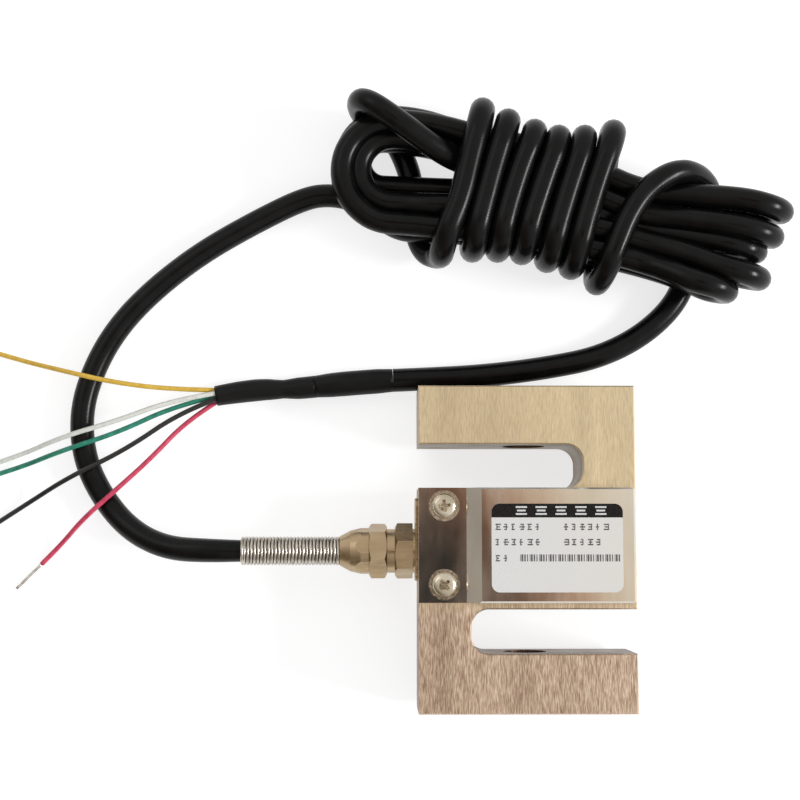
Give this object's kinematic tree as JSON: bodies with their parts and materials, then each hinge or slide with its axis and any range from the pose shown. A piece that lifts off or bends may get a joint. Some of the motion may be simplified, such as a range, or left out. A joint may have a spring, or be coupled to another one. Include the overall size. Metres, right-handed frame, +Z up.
{
  "type": "s type load cell",
  "caption": "S-shaped tension and compression load cell with threaded ends, polished covers, a spring strain relief and a long black cable tied in a hank.",
  "frame": {"origin": "Middle of the block in plan, on the surface that the cell lies on.", "axes": "+Y runs along the load axis through both threaded holes, the longest way; +Z points up out of the front cover, the thinnest way; the cable leaves toward -X."},
  "size_m": [0.2188, 0.1502, 0.0248],
  "materials": {
    "nickel_steel": "ground, nickel plated, warm",
    "polished_sheet": "polished pressed steel",
    "screw_steel": "bright plated",
    "label_film": "printed film",
    "nickel_brass": "nickel plated brass, turned",
    "seal_rubber": "matte",
    "spring_wire": "drawn wire",
    "cable_sheath": "soft black sheath, slightly glossy",
    "gauge_foil": "foil on film",
    "silicone": "poured",
    "board": "green laminate",
    "inner_wire": "insulated",
    "heat_shrink": "shrunk sleeve",
    "tinned_strand": "tinned strands",
    "yellow_wire": "insulated",
    "white_wire": "insulated",
    "green_wire": "insulated",
    "black_wire": "insulated",
    "red_wire": "insulated"
  },
  "bodies": {
    "root": {"s_beam_body": "nickel_steel", "front_cover": "polished_sheet", "back_cover": "polished_sheet", "front_washer_upper": "screw_steel", "front_washer_lower": "screw_steel", "back_washer_upper": "screw_steel", "back_washer_lower": "screw_steel", "front_cover_screw_upper": "screw_steel", "front_cover_screw_lower": "screw_steel", "back_cover_screw_upper": "screw_steel", "back_cover_screw_lower": "screw_steel", "front_label": "label_film", "cable_entry_plate": "nickel_brass", "gland_body": "nickel_brass", "gland_nut": "nickel_brass", "gland_seal": "seal_rubber", "gland_clamp_washer": "nickel_brass", "strain_relief_spring": "spring_wire", "cable_in_gland": "cable_sheath", "strain_gauge_upper_left": "gauge_foil", "strain_gauge_lower_left": "gauge_foil", "strain_gauge_upper_right": "gauge_foil", "strain_gauge_lower_right": "gauge_foil", "silicone_potting": "silicone", "terminal_board": "board", "inner_lead_wires": "inner_wire", "gauge_wires": "inner_wire", "cable_hank": "cable_sheath", "cable_lead": "cable_sheath", "cable_tail": "cable_sheath", "heat_shrink_outer": "heat_shrink", "heat_shrink_inner": "heat_shrink", "yellow_wire": "yellow_wire", "yellow_wire_tip": "tinned_strand", "white_wire": "white_wire", "white_wire_tip": "tinned_strand", "green_wire": "green_wire", "green_wire_tip": "tinned_strand", "black_wire": "black_wire", "black_wire_tip": "tinned_strand", "red_wire": "red_wire", "red_wire_tip": "tinned_strand"}
  },
  "joints": []
}
